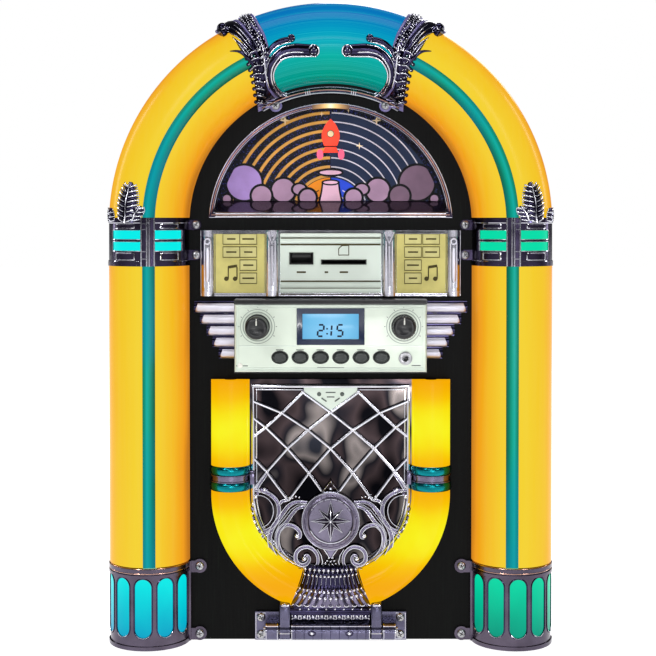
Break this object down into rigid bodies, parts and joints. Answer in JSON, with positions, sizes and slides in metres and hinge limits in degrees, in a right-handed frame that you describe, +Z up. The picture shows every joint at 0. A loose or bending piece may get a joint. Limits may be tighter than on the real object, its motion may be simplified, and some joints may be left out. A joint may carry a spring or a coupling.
{
  "type": "jukebox",
  "caption": "Table-top jukebox with a lit arched front, drop-down grille door over a disc well, picture window, memory sockets and a radio control unit.",
  "frame": {"origin": "under the middle of the base, on the surface the feet stand on", "axes": "+Z up, front faces -Y, +X to the viewer's right"},
  "size_m": [0.2552, 0.19, 0.3675],
  "materials": {
    "case_wrap": "matt black vinyl wrap on board",
    "front_board": "satin black with a fine vertical grain",
    "black_plastic": "satin black moulding",
    "rubber": "matt",
    "screw_steel": "bright zinc",
    "amber_lens": "lit translucent amber",
    "blue_lens": "lit translucent blue to teal",
    "teal_stripe": "translucent teal",
    "cyan_lens": "lit translucent cyan",
    "dark_chrome": "smoky bright plating",
    "chrome": "bright plating on plastic",
    "window_clear": "clear moulding",
    "picture": "printed picture",
    "title_paper": "printed beige-gold strip",
    "silver_plastic": "satin silver paint",
    "fascia_silver": "pale silver paint",
    "socket_metal": "bright shell",
    "lcd_blue": "backlit blue display",
    "key_grey": "dark grey-green keys",
    "circuit_green": "solder mask and components",
    "mirror_brown": "dark bronze mirror foil",
    "door_amber": "lit translucent yellow-amber",
    "well_black": "fine spark texture",
    "led_white": "LED strip",
    "cone_black": "paper cone, steel frame"
  },
  "bodies": {
    "cabinet": {"cabinet_shell": "case_wrap", "bottom_board": "case_wrap", "front_panel": "front_board", "back_cover": "black_plastic", "back_screws": "screw_steel", "rubber_feet": "rubber", "arch_lens_left": "amber_lens", "arch_lens_right": "amber_lens", "arch_lens_top": "blue_lens", "column_lens_left": "amber_lens", "column_lens_right": "amber_lens", "lens_stripes": "teal_stripe", "column_band_left": "dark_chrome", "column_band_right": "dark_chrome", "base_cap_left": "dark_chrome", "base_cap_right": "dark_chrome", "accent_lenses": "cyan_lens", "light_strips": "led_white", "crest_ornament": "chrome", "trim_screws": "screw_steel", "dome_bezel": "chrome", "dome_window": "window_clear", "dome_tray": "black_plastic", "art_board": "picture", "selector_frame": "chrome", "title_cards": "title_paper", "media_plate": "silver_plastic", "media_sockets": "socket_metal", "control_housing": "black_plastic", "control_fascia": "fascia_silver", "lcd_module": "lcd_blue", "headphone_jack": "chrome", "control_board": "circuit_green", "wing_trims": "chrome", "hinge_brackets": "dark_chrome", "hinge_pin": "screw_steel", "cd_bay": "well_black", "cd_deck": "well_black", "main_board": "circuit_green", "speakers": "cone_black", "power_inlet": "black_plastic", "line_jack": "chrome"},
    "door": {"door_panel": "mirror_brown", "door_tubes": "door_amber", "tube_rings": "dark_chrome", "door_grille": "chrome", "door_medallion": "chrome", "door_pedestal": "dark_chrome"},
    "volume_knob": {"volume_knob": "black_plastic"},
    "tuning_knob": {"tuning_knob": "black_plastic"},
    "spindle_hub": {"spindle_hub": "well_black"},
    "laser_sled": {"laser_sled": "well_black"},
    "sled_gear": {"sled_gear": "silver_plastic"},
    "power_rocker": {"power_rocker": "black_plastic"},
    "button_1": {"button_1": "key_grey"},
    "button_2": {"button_2": "key_grey"},
    "button_3": {"button_3": "key_grey"},
    "button_4": {"button_4": "key_grey"},
    "button_5": {"button_5": "key_grey"},
    "button_6": {"button_6": "key_grey"}
  },
  "joints": [
    {"name": "door_hinge", "type": "hinge", "parent": "cabinet", "child": "door", "pos_m": [0, -0.071, 0.009], "axis": [1, 0, 0], "range_deg": [0, 80]},
    {"name": "volume_turn", "type": "hinge", "parent": "cabinet", "child": "volume_knob", "pos_m": [-0.041, -0.08, 0.1835], "axis": [0, -1, 0], "range_deg": [-150, 150]},
    {"name": "tuning_turn", "type": "hinge", "parent": "cabinet", "child": "tuning_knob", "pos_m": [0.041, -0.08, 0.1835], "axis": [0, -1, 0], "continuous": true},
    {"name": "button_1_press", "type": "slide", "parent": "cabinet", "child": "button_1", "axis": [0, 1, 0], "range_m": [0, 0.0009], "stiffness_N_per_m": 600, "springref_m": -0.0005},
    {"name": "button_2_press", "type": "slide", "parent": "cabinet", "child": "button_2", "axis": [0, 1, 0], "range_m": [0, 0.0009], "stiffness_N_per_m": 600, "springref_m": -0.0005},
    {"name": "button_3_press", "type": "slide", "parent": "cabinet", "child": "button_3", "axis": [0, 1, 0], "range_m": [0, 0.0009], "stiffness_N_per_m": 600, "springref_m": -0.0005},
    {"name": "button_4_press", "type": "slide", "parent": "cabinet", "child": "button_4", "axis": [0, 1, 0], "range_m": [0, 0.0009], "stiffness_N_per_m": 600, "springref_m": -0.0005},
    {"name": "button_5_press", "type": "slide", "parent": "cabinet", "child": "button_5", "axis": [0, 1, 0], "range_m": [0, 0.0009], "stiffness_N_per_m": 600, "springref_m": -0.0005},
    {"name": "button_6_press", "type": "slide", "parent": "cabinet", "child": "button_6", "axis": [0, 1, 0], "range_m": [0, 0.0009], "stiffness_N_per_m": 600, "springref_m": -0.0005},
    {"name": "disc_spin", "type": "hinge", "parent": "cabinet", "child": "spindle_hub", "pos_m": [0, -0.05, 0.0865], "axis": [0, -1, 0], "continuous": true},
    {"name": "sled_slide", "type": "slide", "parent": "cabinet", "child": "laser_sled", "axis": [1, 0, 0], "range_m": [0, 0.0335]},
    {"name": "sled_gear_turn", "type": "hinge", "parent": "cabinet", "child": "sled_gear", "pos_m": [0.0533, -0.0354, 0.0704], "axis": [0, 1, 0], "range_deg": [0, 384.5]},
    {"name": "power_switch", "type": "hinge", "parent": "cabinet", "child": "power_rocker", "pos_m": [-0.03, 0.0896, 0.04], "axis": [1, 0, 0], "range_deg": [0, 14]}
  ],
  "couplings": [
    {"joint": "sled_gear_turn", "follows": "sled_slide", "rad_per_m": 200}
  ]
}
